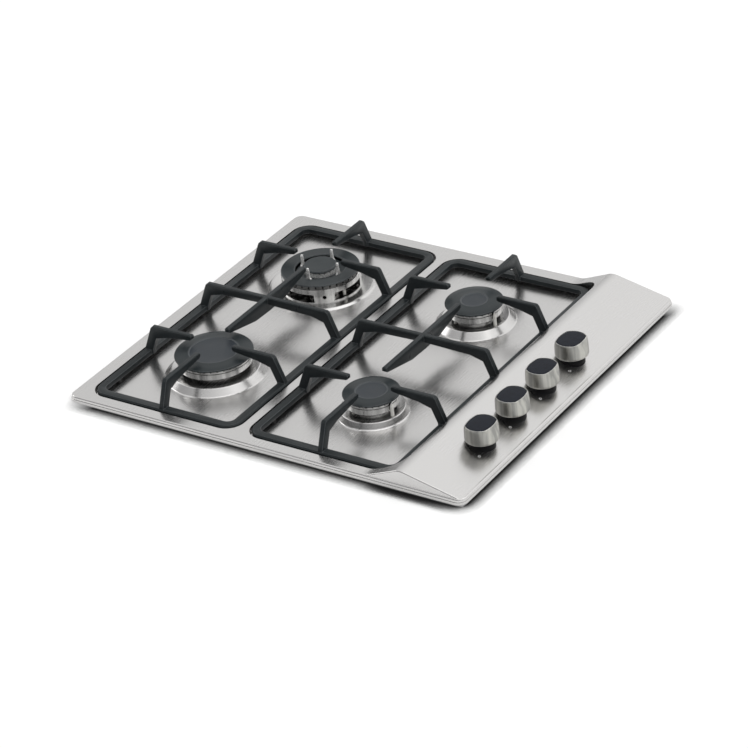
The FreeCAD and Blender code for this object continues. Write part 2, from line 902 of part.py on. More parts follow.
# ---------------------------------------------------------------- wok burner
def wokBurner():
    top = d.wokBaseTop
    low = wokFloor - work
    body = newBody("wok_base", wokX, wokY, work)
    revolve(body, [
        (d.jetRadius, -d.cupDepth),
        (22.0, -d.cupDepth),
        (22.0, -3.0),
        (d.wokHole - 0.5, -3.0),
        (d.wokHole - 0.5, low),
        (d.wokBaseRadius, low),
        (d.wokBaseRadius, top),
        (16.0, top),
        (16.0, -d.cupDepth + d.cupFloor),
        (d.jetRadius, -d.cupDepth + d.cupFloor),
    ])
    revolve(body, [
        (22.0, 2.0),
        (d.wokBaseRadius - 4.5, 2.0),
        (d.wokBaseRadius - 4.5, top - 5.0),
        (22.0, top - 5.0),
    ], cut=True)
    window = newSketch(body, "XY", 2.0)
    half = d.wokBaseRadius * 0.707 - d.wokPillar / 2
    turn = math.radians(wokPillarTurn + 45.0)
    c, s = math.cos(turn), math.sin(turn)
    near = d.wokBaseRadius - 8.0
    far = d.wokBaseRadius + 4.0
    corners = [(near, -half), (far, -half), (far, half), (near, half)]
    drawLoop(window, [(a * c - b * s, a * s + b * c) for a, b in corners])
    around(body, pocket(body, window, top - 7.6, up=True), 4)
    dx, dy = onCircle(45.0, wokSparkTurn)
    sparkWay = newSketch(body, "XY", -5.0)
    drawCircle(sparkWay, d.sparkRadius + 0.3, dx, dy)
    pocket(body, sparkWay, 8.0, up=True)
    boss = rod("wokBoss", 6.0, 14.0, wokX + 20.0, wokY, feedLevel, 90.0)
    way = rod("wokWay", d.tubeRadius - 0.6, 40.0, wokX + 1.0, wokY, feedLevel, 90.0)
    hx, hy = onCircle(1.0, wokPillarTurn)
    reach = d.wokBaseRadius - 5.0
    screwHole = rod("wokScrewHole", 2.6, 12.0, wokX + reach * hx, wokY + reach * hy, work + 9.0)
    screwHole.Placement = Placement(screwHole.Placement.Base,
                                    Rotation(Vector(0, 0, 1), Vector(hx, hy, 0)))
    keep("wok_base", cut("wok_base_casting", fuse("wokBlank", [body, boss]),
                         fuse("wokWays", [way, screwHole])))

    ring = newBody("wok_outer_crown", wokX, wokY, work)
    outer = d.wokRingCap - 1.4
    revolve(ring, [
        (d.wokRingHole, top),
        (d.wokBaseRadius, top),
        (d.wokBaseRadius, top + 1.4),
        (outer, top + 2.0),
        (outer, d.wokRingLevel),
        (outer - 4.5, d.wokRingLevel),
        (outer - 4.5, top + 2.0),
        (d.wokRingHole + 3.0, top + 2.0),
        (d.wokRingHole + 3.0, d.wokRingLevel),
        (d.wokRingHole, d.wokRingLevel),
    ])
    port = newSketch(ring, "XY", d.wokRingLevel - 3.2)
    drawLoop(port, rectangle(outer - 6.0, -d.portWidth / 2, outer + 2.0, d.portWidth / 2))
    around(ring, pocket(ring, port, 4.0, up=True), 34)
    keep("wok_outer_crown", ring)

    lid = newBody("wok_ring_cap", wokX, wokY, work + d.wokRingLevel)
    guide = outer - 4.5 - d.looseGap
    edge = d.wokRingCap
    revolve(lid, [
        (d.wokRingHole, 0),
        (guide - 2.0, 0),
        (guide - 2.0, -2.6),
        (guide, -2.6),
        (guide, 0),
        (edge - 0.5, 0),
        (edge, 0.5),
        (edge, d.wokRingThick - 0.9),
        (edge - 0.9, d.wokRingThick),
        (d.wokRingHole + 1.0, d.wokRingThick),
        (d.wokRingHole, d.wokRingThick - 1.0),
    ])
    keep("wok_ring_cap", lid)

    core = newBody("wok_inner_crown", wokX, wokY, work)
    inner = d.wokInnerCap - 1.2
    revolve(core, [
        (10.0, 6.0),
        (16.0 - d.looseGap, 6.0),
        (16.0 - d.looseGap, top),
        (inner, top),
        (inner, d.wokInnerLevel),
        (inner - 4.0, d.wokInnerLevel),
        (inner - 4.0, top + 2.0),
        (10.0, top + 2.0),
    ])
    slot = newSketch(core, "XY", d.wokInnerLevel - 2.4)
    drawLoop(slot, rectangle(inner - 5.0, -d.portWidth / 2, inner + 1.0, d.portWidth / 2))
    around(core, pocket(core, slot, 3.0, up=True), 18)
    keep("wok_inner_crown", core)

    button = newBody("wok_inner_cap", wokX, wokY, work + d.wokInnerLevel)
    guide = inner - 4.0 - d.looseGap
    edge = d.wokInnerCap
    revolve(button, [
        (0, 0),
        (guide - 2.0, 0),
        (guide - 2.0, -2.6),
        (guide, -2.6),
        (guide, 0),
        (edge - 0.6, 0),
        (edge, 0.6),
        (edge, d.wokInnerThick - 1.4),
        (edge - 1.4, d.wokInnerThick),
        (0, d.wokInnerThick),
    ])
    keep("wok_inner_cap", button)

    fence = newBody("wok_prongs", wokX, wokY, work + top)
    revolve(fence, [
        (inner + 1.0, 0),
        (d.wokRingHole - 1.0, 0),
        (d.wokRingHole - 1.0, 3.0),
        (inner + 1.0, 3.0),
    ])
    middle = d.prongCircle
    high = d.prongTop - top
    foot = newSketch(fence, "YZ", middle)
    drawLoop(foot, [
        (-4.6, 2.0),
        (4.6, 2.0),
        (4.4, 4.2),
        (2.4, 7.0),
        (1.5, high),
        (-1.5, high),
        (-2.4, 7.0),
        (-4.4, 4.2),
    ])
    around(fence, pad(fence, foot, 3.0, both=True), 4)
    keep("wok_prongs", fence)


# ---------------------------------------------------------------- knobs and valves
def knobSet(number, y):
    x = d.knobX
    high = d.knobHeight
    seatDepth = 2.0
    wall = d.collarRadius + d.looseGap + 0.4
    body = newBody("knob_%d" % number, x, y, knobBottom)
    revolve(body, [
        (d.stemRadius, 4.0),
        (8.0, 4.0),
        (8.0, 10.0),
        (wall, 10.0),
        (wall, 0),
        (d.knobBaseRadius - 1.9, 0),
        (d.knobBaseRadius - 0.6, 0.6),
        (d.knobBaseRadius, 2.6),
        (d.knobTopRadius, high - 0.5),
        (d.knobTopRadius - 0.5, high),
        (0, high),
        (0, 13.0),
        (d.stemRadius, 13.0),
    ])
    for sign in (1, -1):
        facet = newSketch(body, "XZ")
        drawLoop(facet, [
            (sign * d.knobFlat, high + 1.0),
            (sign * d.knobFlat, high),
            (sign * (d.knobBaseRadius + 0.1), 2.6),
            (sign * (d.knobBaseRadius + 4.0), 2.6),
            (sign * (d.knobBaseRadius + 4.0), high + 1.0),
        ])
        pocket(body, facet, 80.0, both=True)
    reach = d.knobTopRadius - d.insertRim
    seat = newSketch(body, "XY", high - seatDepth)
    drawCircle(seat, reach)
    pocket(body, seat, seatDepth + 1.0, up=True)
    doc.recompute()
    for sign in (1, -1):
        wall = newSketch(body, "XY", high - seatDepth)
        flat = sign * (d.knobFlat - d.insertRim)
        lean = sign * (d.knobFlat + 0.35)
        drawLoop(wall, rectangle(flat, -14.5, lean, 14.5))
        pad(body, wall, seatDepth)
    keep("knob_%d" % number, body)

    top = newBody("knob_top_%d" % number, x, y, knobBottom + high - seatDepth)
    disc = newSketch(top, "XY")
    drawCircle(disc, reach - 0.05)
    pad(top, disc, seatDepth + 0.2)
    for sign in (1, -1):
        trim = newSketch(top, "XY", -1.0)
        drawLoop(trim, rectangle(sign * (d.knobFlat - d.insertRim - 0.05), -30.0,
                                 sign * (d.knobTopRadius + 5.0), 30.0))
        pocket(top, trim, 6.0, up=True)
    keep("knob_top_%d" % number, top)

    stem = newBody("stem_%d" % number, x, y, work)
    revolve(stem, [
        (0, -20.0),
        (d.stemRadius, -20.0),
        (d.stemRadius, d.knobBottom + 12.9),
        (0, d.knobBottom + 12.9),
    ])
    keep("stem_%d" % number, stem)

    plug = newBody("plug_%d" % number, x, y, valveTop)
    revolve(plug, [
        (0, -34.0),
        (d.plugRadius, -34.0),
        (d.plugRadius, -2.0),
        (d.stemRadius + d.fitGap, -2.0),
        (d.stemRadius + d.fitGap, -28.0),
        (0, -28.0),
    ])
    keep("plug_%d" % number, plug)


def valves():
    blocks = []
    springs = []
    boots = []
    half = d.valveBlock / 2
    for step, y in enumerate(knobs, start=1):
        x = d.knobX
        base = block("valveBlock%d" % step, x - half, y - half, valveTop - d.valveHeight,
                     d.valveBlock, d.valveBlock, d.valveHeight)
        inlet = rod("valveIn%d" % step, 5.0, x - half - d.railX - d.railRadius, x - half, y,
                    work - d.railDrop, -90.0)
        outlet = rod("valveOut%d" % step, 4.5, 6.5, x - half, y, feedLevel, -90.0)
        bore = rod("valveBore%d" % step, d.plugRadius + d.fitGap, 60.0, x, y, valveTop - 34.0)
        way = rod("valveWay%d" % step, d.tubeRadius - 0.6, half + 8.0, x - 4.0, y, feedLevel, -90.0)
        blocks.append(cut("valve%d" % step, fuse("valveBlank%d" % step, [base, inlet, outlet]),
                          fuse("valveWays%d" % step, [bore, way])))
        coil = newBody("spring%d" % step, x, y, valveTop - 28.0)
        revolve(coil, [(1.6, 0), (2.7, 0), (2.7, 10.8), (1.6, 10.8)])
        springs.append(coil)
        boot = newBody("boot%d" % step, x, y, valveTop + 1.5)
        rise = knobBottom + 0.5 - valveTop - 1.5
        revolve(boot, [
            (d.stemRadius + 0.4, 0),
            (d.bootRadius, 0),
            (d.bootRadius, rise),
            (d.stemRadius + 0.4, rise),
        ])
        rim = newBody("collar%d" % step, x, y, work)
        revolve(rim, [
            (d.bootRadius - 0.5, 5.0),
            (d.collarRadius, 5.0),
            (d.collarRadius, d.knobBottom - 0.5),
            (d.collarRadius - 1.0, d.knobBottom + 0.5),
            (d.bootRadius - 0.5, d.knobBottom + 0.5),
        ])
        collar = cut("collarCut%d" % step, rim, panelSlab("collarSlab%d" % step, y))
        boot = fuse("bootFuse%d" % step, [boot, collar])
        boots.append(boot)
    group("valve_bodies", blocks)
    group("valve_springs", springs)
    group("knob_boots", boots)


def valveBracket():
    left = d.knobX - 16.0
    front = knobs[0] - 30.0
    long = knobs[3] - knobs[0] + 60.0
    inside = d.boxBottom + d.boxWall
    shelf = block("bracketShelf", left, front, valveTop, 32.0, long, 1.5)
    legs = [shelf]
    for step, y in enumerate((front, front + long - 1.5)):
        legs.append(block("bracketLeg%d" % step, left, y, inside, 32.0, 1.5, valveTop - inside + 1.5))
    holes = [rod("bracketHole%d" % step, d.stemRadius + 1.0, 10.0, d.knobX, y, valveTop - 4.0)
             for step, y in enumerate(knobs)]
    keep("valve_bracket", cut("valve_bracket", fuse("bracketBlank", legs), fuse("bracketHoles", holes)))


def gasLine():
    level = work - d.railDrop
    front = knobs[0] - 20.0
    long = d.boxBack - 20.0 - front
    pipe = rod("railPipe", d.railRadius, long, d.railX, front, level, -90.0, (1, 0, 0))
    bore = rod("railBore", d.railRadius - 2.0, long, d.railX, front + 3.0, level, -90.0, (1, 0, 0))
    ports = [bore] + [rod("railPort%d" % step, 2.0, 20.0, d.railX, y, level, 90.0)
                      for step, y in enumerate(knobs)]
    keep("gas_rail", cut("gas_rail", pipe, fuse("railBores", ports)))
    start = front + long
    nut = rod("inletNut", 12.0, d.boxBack - d.boxWall - start, d.railX, start, level, -90.0,
              (1, 0, 0))
    neck = rod("inletNeck", d.inletRadius - 0.8, d.boxWall + d.inletNeck, d.railX,
               d.boxBack - d.boxWall, level, -90.0, (1, 0, 0))
    thread = rod("inletThread", d.inletRadius, d.inletLength - d.inletNeck, d.railX,
                 d.boxBack + d.inletNeck, level, -90.0, (1, 0, 0))
    way = rod("inletWay", d.railRadius - 2.0, 60.0, d.railX, start - 5.0, level, -90.0, (1, 0, 0))
    keep("gas_inlet", cut("gas_inlet", fuse("inletBlank", [nut, neck, thread]), way))


def tube(label, points):
    # straight runs joined by tangent arcs, in one level plane
    level = feedLevel.value
    flat = [Vector(size(x).value, size(y).value, level) for x, y in points]
    bend = 12.0
    edges_ = []
    last = flat[0]
    for before, corner, after in zip(flat, flat[1:], flat[2:]):
        come = (corner - before).normalize()
        leave = (after - corner).normalize()
        half = come.getAngle(leave) / 2
        back = bend * math.tan(half)
        start = corner - come * back
        end = corner + leave * back
        toCentre = (leave - come).normalize()
        middle = corner + toCentre * (bend / math.cos(half) - bend)
        edges_.append(Part.makeLine(last, start))
        edges_.append(Part.Arc(start, middle, end).toShape())
        last = end
    edges_.append(Part.makeLine(last, flat[-1]))
    path = Part.Wire(edges_)
    along = (flat[1] - flat[0]).normalize()
    rim = Part.Wire(Part.makeCircle(d.tubeRadius.value, flat[0], along))
    solid = Part.makeSolid(path.makePipeShell([rim], True, False))
    thing = doc.addObject("Part::Feature", label)
    thing.Shape = solid if solid.Volume > 0 else solid.reversed()
    keep(label, thing)


def feedTubes():
    start = d.knobX - d.valveBlock / 2 - 6.5
    ends = {mark: (x + neckR(mark) + 12.0, y) for x, y, mark in burners.values()}
    wokEnd = (wokX + 34.0, wokY)
    lanes = d.rightCentre - 130.0
    tube("feed_tube_1", [(start, knobs[0]), (start - 50.0, knobs[0]),
                         (ends["FR"][0] + 30.0, ends["FR"][1]), ends["FR"]])
    tube("feed_tube_2", [(start, knobs[1]), (start - 40.0, knobs[1]), (start - 75.0, -42.0),
                         (lanes, -42.0), (ends["FL"][0] + 26.0, ends["FL"][1]), ends["FL"]])
    tube("feed_tube_3", [(start, knobs[2]), (start - 30.0, knobs[2]), (start - 60.0, 22.0),
                         (lanes, 22.0), (wokEnd[0] + 26.0, wokEnd[1]), wokEnd])
    tube("feed_tube_4", [(start, knobs[3]), (start - 40.0, knobs[3]),
                         (ends["RR"][0] + 30.0, ends["RR"][1]), ends["RR"]])


# ---------------------------------------------------------------- electrics
def electrics():
    inside = d.boxBottom + d.boxWall
    shell = block("moduleShell", -30.0, 165.0, inside, 62.0, 40.0, 24.0)
    lugs = [rod("moduleLug%d" % step, 3.0, 8.0, -20.0 + 13.0 * step, 165.0, inside + 14.0, 90.0,
                (1, 0, 0)) for step in range(4)]
    keep("ignition_module", fuse("ignition_module", [shell] + lugs))
    base = block("terminalBase", d.glandX - 18.0, 196.0, inside, 36.0, 18.0, 14.0)
    slots = [rod("terminalSlot%d" % step, 2.4, 30.0, d.glandX - 11.0 + 11.0 * step, 220.0,
                 inside + 7.0, 90.0, (1, 0, 0)) for step in range(3)]
    keep("terminal_block", cut("terminal_block", base, fuse("terminalSlots", slots)))
    gland = newBody("cable_gland", d.glandX, d.boxBack, d.boxBottom + 18.0, -90.0, (1, 0, 0))
    hole = d.cableHole
    revolve(gland, [
        (hole, -9.0),
        (hole + 3.0, -9.0),
        (hole + 4.0, -d.boxWall),
        (hole + 2.0, -d.boxWall),
        (hole + 2.0, 0),
        (hole + 4.0, 0),
        (hole + 4.0, 3.0),
        (hole + 2.4, 7.0),
        (hole, 7.0),
    ])
    keep("cable_gland", gland)


# ---------------------------------------------------------------- build and write
def check():
    doc.recompute()
    for thing in doc.Objects:
        if "Invalid" in thing.State or "Error" in thing.State:
            raise RuntimeError("%s is %s" % (thing.Label, thing.State))
    for label, thing in nodes.items():
        shape = thing.Shape
        if shape.isNull() or not shape.isValid() or not shape.Solids:
            raise RuntimeError("bad shape: " + label)


def write():
    os.makedirs("parts", exist_ok=True)
    for label, thing in nodes.items():
        thing.Shape.exportStep("parts/%s.step" % label)
        print(label, len(thing.Shape.Solids), round(thing.Shape.Volume))


hobPlate()
worktopSeal()
burnerBox()
clamps()
panSupport("left", d.leftCentre)
panSupport("right", d.rightCentre)
for burner, (x, y, mark) in burners.items():
    burnerCup(burner, x, y, mark)
    crown(burner, x, y, mark, 36 if mark == "FL" else 26)
    cap(burner, x, y, mark)
jets()
screws()
sparks()
wokBurner()
for number, y in enumerate(knobs, start=1):
    knobSet(number, y)
valves()
valveBracket()
gasLine()
feedTubes()
electrics()
check()
write()
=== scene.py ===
import json
import math

import bmesh
import bpy
from mathutils import Matrix, Vector


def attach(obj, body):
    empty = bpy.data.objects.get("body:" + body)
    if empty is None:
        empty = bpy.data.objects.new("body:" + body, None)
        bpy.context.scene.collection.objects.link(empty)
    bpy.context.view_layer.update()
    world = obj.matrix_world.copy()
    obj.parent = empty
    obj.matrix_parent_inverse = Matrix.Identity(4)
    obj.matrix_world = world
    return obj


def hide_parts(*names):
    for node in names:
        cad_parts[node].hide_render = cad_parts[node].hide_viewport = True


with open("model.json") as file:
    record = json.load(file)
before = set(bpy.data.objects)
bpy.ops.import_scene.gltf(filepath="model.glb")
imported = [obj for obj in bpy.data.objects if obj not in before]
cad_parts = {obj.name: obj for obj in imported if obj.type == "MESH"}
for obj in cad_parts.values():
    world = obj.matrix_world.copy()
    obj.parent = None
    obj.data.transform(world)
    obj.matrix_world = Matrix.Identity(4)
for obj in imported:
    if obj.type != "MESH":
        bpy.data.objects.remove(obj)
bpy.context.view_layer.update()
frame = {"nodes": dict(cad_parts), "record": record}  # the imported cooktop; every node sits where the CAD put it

scene = bpy.context.scene
nodes = frame["nodes"]
mm = 0.001
worktop = 55.0  # height of the worktop above the lowest screw, mm
leftX, rightX = -158.5, 78.5  # burner centres
frontY, backY = -123.0, 119.0


# helpers for node materials

def addNode(tree, kind, inputs=None, **settings):
    made = tree.nodes.new(kind)
    for name, value in settings.items():
        setattr(made, name, value)
    for name, value in (inputs or {}).items():
        if isinstance(value, bpy.types.NodeSocket):
            tree.links.new(value, made.inputs[name])
        else:
            made.inputs[name].default_value = value
    return made


def pattern(tree, scale, shift=(0, 0, 0)):
    # object coordinates, so that every finish lies on the part and moves with it
    where = addNode(tree, "ShaderNodeTexCoord").outputs["Object"]
    return addNode(tree, "ShaderNodeMapping", {
        "Vector": where, "Scale": scale, "Location": shift}).outputs[0]


def larger(tree, first, second):
    return addNode(tree, "ShaderNodeMath", {0: first, 1: second}, operation="MAXIMUM").outputs[0]


def product(tree, first, second):
    return addNode(tree, "ShaderNodeMath", {0: first, 1: second}, operation="MULTIPLY").outputs[0]


def noise(tree, where, size=1.0, detail=4.0, rough=0.55):
    return addNode(tree, "ShaderNodeTexNoise", {
        "Vector": where, "Scale": size, "Detail": detail, "Roughness": rough}).outputs[0]


def spread(tree, value, low, high, start=0.3, end=0.7):
    return addNode(tree, "ShaderNodeMapRange", {
        "Value": value, "From Min": start, "From Max": end, "To Min": low,
        "To Max": high}).outputs[0]


def add(tree, first, second, share=0.5):
    # the whole of the first value and a share of the second
    part = product(tree, second, share)
    return addNode(tree, "ShaderNodeMath", {0: first, 1: part}, operation="ADD").outputs[0]


def blendColour(tree, amount, first, second):
    made = addNode(tree, "ShaderNodeMix", data_type="RGBA")
    for socket, value in ((0, amount), (6, first), (7, second)):
        if isinstance(value, bpy.types.NodeSocket):
            tree.links.new(value, made.inputs[socket])
        elif socket == 0:
            made.inputs[0].default_value = value
        else:
            made.inputs[socket].default_value = (*value, 1)
    return made.outputs[2]


def relief(tree, height, depth, strength=1.0):
    return addNode(tree, "ShaderNodeBump", {
        "Height": height, "Distance": depth, "Strength": strength}).outputs[0]


def edgeHighlightMask(tree, radius, low=0.02, high=0.16):
    # 1 on an edge and 0 on a flat face, from how far a rounded normal leaves the real one; the finishes paint a
    # highlight along edges with it
    rounded = addNode(tree, "ShaderNodeBevel", {"Radius": radius}, samples=4).outputs[0]
    flat = addNode(tree, "ShaderNodeNewGeometry").outputs["Normal"]
    dot = addNode(tree, "ShaderNodeVectorMath", {0: rounded, 1: flat}, operation="DOT_PRODUCT")
    return spread(tree, dot.outputs["Value"], 1.0, 0.0, 1 - high, 1 - low)


def finish(name, colour, metal, rough, extra=None):
    made = bpy.data.materials.new(name)
    made.use_nodes = True
    made.diffuse_color = (*colour, 1)
    tree = made.node_tree
    shader = tree.nodes["Principled BSDF"]
    shader.inputs["Base Color"].default_value = (*colour, 1)
    shader.inputs["Metallic"].default_value = metal
    shader.inputs["Roughness"].default_value = rough
    for socket, value in (extra or {}).items():
        shader.inputs[socket].default_value = value
    return made, tree, lambda socket, value: tree.links.new(value, shader.inputs[socket])


# finishes of the pressed plate and the sheet metal

steelLook = {
    "light": (0.645, 0.637, 0.631),
    "dark": (0.618, 0.610, 0.604),
    "grain": 0.00001,  # depth of the brush lines, m
    "smooth": 0.23,
    "dull": 0.27,
}


def brushedSteel():
    made, tree, link = finish("brushedSteel", steelLook["light"], 1.0, 0.3)
    fine = noise(tree, pattern(tree, (4200, 40, 1400)), 1.0, 3.0, 0.6)
    broad = noise(tree, pattern(tree, (1400, 14, 480)), 1.0, 2.0, 0.5)
    smudge = noise(tree, pattern(tree, (14, 9, 14)), 1.0, 3.0, 0.5)
    lines = add(tree, fine, broad, 0.15)
    link("Base Color", blendColour(tree, spread(tree, lines, 0, 1, 0.40, 0.95),
                                   steelLook["dark"], steelLook["light"]))
    link("Roughness", add(tree, spread(tree, fine, steelLook["smooth"], steelLook["dull"]),
                          spread(tree, smudge, -0.03, 0.05), 1.0))
    link("Normal", relief(tree, lines, steelLook["grain"], 0.08))
    return made


def sheetZinc(name, colour, size):
    # spangled galvanised sheet or zinc plating
    made, tree, link = finish(name, colour, 1.0, 0.42)
    flakes = addNode(tree, "ShaderNodeTexVoronoi", {
        "Vector": pattern(tree, (size, size, size)), "Scale": 1.0}).outputs["Distance"]
    cloud = noise(tree, pattern(tree, (40, 40, 40)))
    shade = tuple(part * 0.78 for part in colour)
    link("Base Color", blendColour(tree, add(tree, flakes, cloud, 0.6), shade, colour))
    link("Roughness", spread(tree, cloud, 0.34, 0.52))
    link("Normal", relief(tree, flakes, 0.00003, 0.4))
    return made


# finishes of the pan supports and the burners

supportLook = {
    "charcoal": (0.0200, 0.0242, 0.0262),
    # edge: the painted highlight along every edge of the supports
    "edge": (0.150, 0.162, 0.168),
    "eased": (0.150, 0.160, 0.166),  # a thin, paler painted highlight on the eased edges
    "grain": 0.00003,
}


def supportEnamel(name, colour):
    made, tree, link = finish(name, colour, 0.0, 0.36, {"Specular IOR Level": 0.2})
    pores = noise(tree, pattern(tree, (1300, 1300, 1300)), 1.0, 2.0)
    waves = noise(tree, pattern(tree, (120, 120, 120)), 1.0, 3.0)
    cloud = noise(tree, pattern(tree, (22, 22, 22)), 1.0, 3.0)
    body = blendColour(tree, spread(tree, cloud, 0, 1), tuple(c * 0.84 for c in colour),
                       tuple(c * 1.15 for c in colour))
    # painted highlight: the edges are lightened towards the edge colour
    link("Base Color", blendColour(tree, edgeHighlightMask(tree, 0.0014, 0.02, 0.24), body,
                                   supportLook["edge"]))
    link("Roughness", spread(tree, waves, 0.27, 0.38))
    link("Normal", relief(tree, add(tree, pores, waves, 1.5), supportLook["grain"], 0.5))
    return made


capLook = {
    "enamel": (0.019, 0.026, 0.029),
    "middle": (0.025, 0.032, 0.040),
    # ridge: painted highlight on the ring round the sunken middle
    "ridgeHighlight": (0.052, 0.060, 0.066),
    # edge: painted highlight along the cap's edges
    "edge": (0.140, 0.152, 0.160),
}


def capEnamel(name, colour):
    made, tree, link = finish(name, colour, 0.0, 0.4, {"Specular IOR Level": 0.35})
    speck = noise(tree, pattern(tree, (900, 900, 900)), 1.0, 2.0)
    cloud = noise(tree, pattern(tree, (45, 45, 45)), 1.0, 4.0)
    body = blendColour(tree, spread(tree, add(tree, cloud, speck, 0.4), 0, 1, 0.5, 0.9),
                       tuple(c * 0.82 for c in colour), colour)
    # painted highlight: the edges are lightened towards the edge colour
    link("Base Color", blendColour(tree, edgeHighlightMask(tree, 0.0014, 0.01, 0.12), body,
                                   capLook["edge"]))
    link("Roughness", spread(tree, cloud, 0.33, 0.47))
    link("Normal", relief(tree, add(tree, speck, cloud, 0.7), 0.00004, 0.5))
    return made


def castAlloy(name, colour, low, high):
    # machined die-cast metal with a slight haze from heat
    made, tree, link = finish(name, colour, 1.0, low)
    haze = noise(tree, pattern(tree, (60, 60, 35)), 1.0, 4.0)
    grit = noise(tree, pattern(tree, (1600, 1600, 700)), 1.0, 2.0)
    paintedReflectionBands = noise(tree, pattern(tree, (95, 95, 0)), 1.0, 3.0, 0.6)  # painted reflections: lighter and darker bands up the walls
    link("Base Color", blendColour(tree, spread(tree, paintedReflectionBands, 0, 1, 0.36, 0.6),
                                   tuple(c * 0.52 for c in colour), colour))
    link("Roughness", spread(tree, add(tree, haze, grit, 0.4), low, high, 0.5, 0.9))
    link("Normal", relief(tree, grit, 0.00001, 0.15))
    return made


def paintedShadeAlloy(name, colour, x, y, inner, outer, above, patchTone):
    # painted shade: dark between two radii round the burner's axis, where the hollows under the cap
    # and crown lie in shade, with paler patches in it; under the height named above the outermost
    # 3 mm of that zone stay bright and unshaded; all are in mm
    made, tree, link = finish(name, colour, 1.0, 0.24)
    haze = noise(tree, pattern(tree, (60, 60, 35)), 1.0, 4.0)
    paintedReflectionBands = noise(tree, pattern(tree, (95, 95, 0)), 1.0, 3.0, 0.6)
    patches = noise(tree, pattern(tree, (110, 110, 110)), 1.0, 3.0)
    radius = addNode(tree, "ShaderNodeVectorMath", {
        0: pattern(tree, (1, 1, 0), (-x * mm, -y * mm, 0))}, operation="LENGTH").outputs["Value"]
    high = addNode(tree, "ShaderNodeSeparateXYZ", {0: pattern(tree, (1, 1, 1))}).outputs["Z"]
    below = spread(tree, high, 1, 0, above * mm, (above + 0.3) * mm)
    clear = spread(tree, radius, 0, 1, (outer - 0.2) * mm, (outer + 0.1) * mm)
    core = spread(tree, radius, 1, 0, (inner - 0.1) * mm, (inner + 0.2) * mm)
    rim = spread(tree, radius, 0, 1, (outer - 3.4) * mm, (outer - 3.0) * mm)
    for other in (core, product(tree, below, rim)):
        clear = larger(tree, clear, other)
    # the unshaded metal carries painted reflection bands
    unshaded = blendColour(tree, spread(tree, paintedReflectionBands, 0, 1, 0.36, 0.6),
                        tuple(c * 0.55 for c in colour), colour)
    paintedShade = blendColour(tree, spread(tree, patches, 0, 1, 0.5, 0.6),
                        (0.008, 0.008, 0.008), patchTone)
    link("Base Color", blendColour(tree, clear, paintedShade, unshaded))
    link("Roughness", add(tree, spread(tree, haze, 0.14, 0.26),
                          spread(tree, clear, 0.3, 0.0, 0, 1), 1.0))
    link("Normal", relief(tree, haze, 0.00003, 0.2))
    return made


def whiteMetal():
    # tumbled bright steel, which scatters more light than a mirror
    made, tree, link = finish("whiteMetal", (0.86, 0.86, 0.85), 0.45, 0.28)
    haze = noise(tree, pattern(tree, (300, 300, 300)), 1.0, 4.0)
    link("Base Color", blendColour(tree, spread(tree, haze, 0, 1),
                                   (0.78, 0.77, 0.76), (0.95, 0.95, 0.94)))
    link("Roughness", spread(tree, haze, 0.2, 0.34))
    link("Normal", relief(tree, haze, 0.00004, 0.3))
    return made


def glazedCeramic():
    made, tree, link = finish("glazedCeramic", (0.86, 0.85, 0.81), 0.0, 0.22,
                              {"Coat Weight": 0.4, "Coat Roughness": 0.1})
    stain = noise(tree, pattern(tree, (240, 240, 240)), 1.0, 4.0)
    link("Base Color", blendColour(tree, spread(tree, stain, 0, 1, 0.45, 0.75),
                                   (0.88, 0.87, 0.83), (0.74, 0.71, 0.64)))
    link("Roughness", spread(tree, stain, 0.18, 0.3))
    link("Normal", relief(tree, stain, 0.00003, 0.3))
    return made


def turnedBrass():
    made, tree, link = finish("turnedBrass", (0.70, 0.54, 0.26), 1.0, 0.28)
    rings = noise(tree, pattern(tree, (90, 2400, 90)), 1.0, 2.0)
    tarnish = noise(tree, pattern(tree, (150, 150, 150)), 1.0, 4.0)
    link("Base Color", blendColour(tree, spread(tree, tarnish, 0, 1),
                                   (0.50, 0.36, 0.16), (0.74, 0.57, 0.28)))
    link("Roughness", spread(tree, tarnish, 0.22, 0.4))
    link("Normal", relief(tree, rings, 0.00003, 0.4))
    return made


# finishes of rubber, plastic and the knobs

def softRubber(name, colour, rough):
    made, tree, link = finish(name, colour, 0.0, rough)
    pores = noise(tree, pattern(tree, (1100, 1100, 1100)), 1.0, 3.0)
    dust = noise(tree, pattern(tree, (50, 50, 50)), 1.0, 4.0)
    link("Base Color", blendColour(tree, spread(tree, dust, 0, 1), colour,
                                   tuple(c * 1.7 + 0.008 for c in colour)))
    link("Roughness", spread(tree, pores, rough - 0.08, rough + 0.08))
    link("Normal", relief(tree, pores, 0.00008, 0.5))
    return made


def mouldedPlastic(name, colour, rough, gloss=0.5):
    made, tree, link = finish(name, colour, 0.0, rough, {"Specular IOR Level": gloss})
    spark = noise(tree, pattern(tree, (1400, 1400, 1400)), 1.0, 2.0)
    scuff = noise(tree, pattern(tree, (35, 35, 90)), 1.0, 4.0)
    link("Base Color", blendColour(tree, spread(tree, scuff, 0, 1),
                                   tuple(c * 0.86 for c in colour), colour))
    link("Roughness", spread(tree, scuff, rough - 0.06, rough + 0.08))
    link("Normal", relief(tree, spark, 0.00003, 0.4))
    return made


knobLook = {
    "nickel": (0.50, 0.495, 0.46),
    # shade: the darker tone of the painted reflection bands on the body
    "shade": (0.30, 0.30, 0.285),
    "inlay": (0.0065, 0.0085, 0.014),
}


